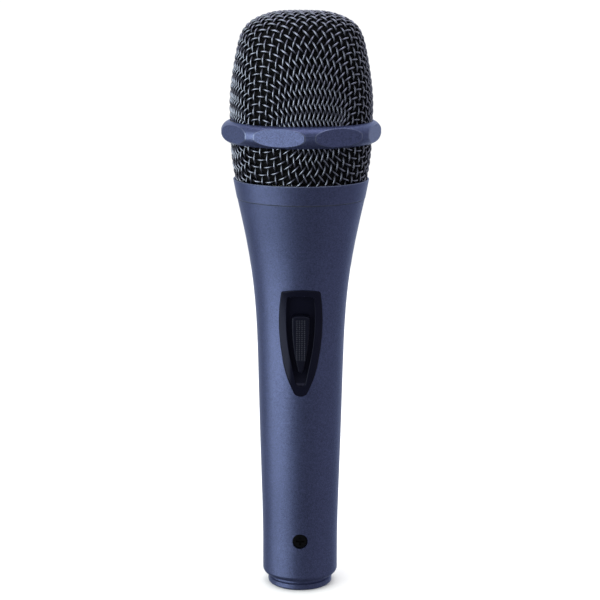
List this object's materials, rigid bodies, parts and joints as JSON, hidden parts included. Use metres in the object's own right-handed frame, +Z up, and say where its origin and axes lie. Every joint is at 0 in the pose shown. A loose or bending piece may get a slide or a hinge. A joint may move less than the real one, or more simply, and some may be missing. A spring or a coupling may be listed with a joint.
{
  "type": "dynamic microphone",
  "caption": "Handheld dynamic vocal microphone: flared painted metal handle, screw-on woven wire grille with faceted belt ring, slide switch and 3-pin audio socket in the tail.",
  "frame": {"origin": "centre of the tail face, where the microphone stands on end", "axes": "+Z up the handle to the head, -Y the front with the switch, +X to the right seen from the front"},
  "size_m": [0.0522, 0.0522, 0.1932],
  "materials": {
    "slate_paint": "satin metallic, fine flake",
    "dark_wire": "dark plated woven wire",
    "black_gloss": "satin to gloss moulded plastic",
    "black_grip": "satin moulded plastic",
    "black_plastic": "fine matte",
    "black_screw": "black oxide",
    "contact_metal": "plated, bright",
    "spring_brass": "rolled sheet",
    "plain_steel": "zinc plated",
    "magnet_grey": "sintered",
    "cover_metal": "satin",
    "copper": "enamelled wire",
    "film": "thin clear film",
    "rubber_black": "soft matte",
    "foam_black": "open-cell foam",
    "felt": "pressed felt and cloth",
    "board": "solder-resist",
    "lead_red": "insulation",
    "lead_black": "insulation",
    "lead_bare": "insulation"
  },
  "bodies": {
    "handle": {"handle_shell": "slate_paint", "switch_bezel": "black_gloss", "switch_bracket": "plain_steel", "switch_bracket_screws": "plain_steel", "slide_switch_body": "plain_steel", "switch_pcb": "board", "xlr_insert": "black_plastic", "xlr_pin_1": "contact_metal", "xlr_pin_2": "contact_metal", "xlr_pin_3": "contact_metal", "xlr_lock_screw": "black_screw", "xlr_ground_spring": "spring_brass", "capsule_clamp_ring": "black_plastic", "capsule_shock_mount": "rubber_black", "capsule_basket": "black_plastic", "capsule_cover": "cover_metal", "capsule_screen": "felt", "diaphragm": "film", "voice_coil": "copper", "magnet": "magnet_grey", "pole_plate": "plain_steel", "magnet_yoke": "plain_steel", "rear_damping_felt": "felt", "capsule_terminal_board": "board", "rear_chamber": "black_plastic", "capsule_lead_hot": "lead_red", "capsule_lead_return": "lead_black", "output_lead_1": "lead_bare", "output_lead_2": "lead_red", "output_lead_3": "lead_black"},
    "button": {"switch_button": "black_grip", "slide_switch_lever": "black_grip"},
    "washer": {"grille_washer": "rubber_black"},
    "grille": {"grille_collar": "slate_paint", "lower_mesh": "dark_wire", "belt_ring": "slate_paint", "inner_crimp_ring": "plain_steel", "upper_mesh": "dark_wire", "foam_liner_upper": "foam_black", "foam_liner_lower": "foam_black"}
  },
  "joints": [
    {"name": "switch_slide", "type": "slide", "parent": "handle", "child": "button", "axis": [0, -0.0523, 0.9986], "range_m": [0, 0.0045]},
    {"name": "grille_lift", "type": "slide", "parent": "handle", "child": "washer", "axis": [0, 0, 1], "range_m": [0, 0.045]},
    {"name": "grille_turn", "type": "hinge", "parent": "washer", "child": "grille", "pos_m": [0, 0, 0.1324], "axis": [0, 0, 1], "range_deg": [0, 1440]}
  ]
}
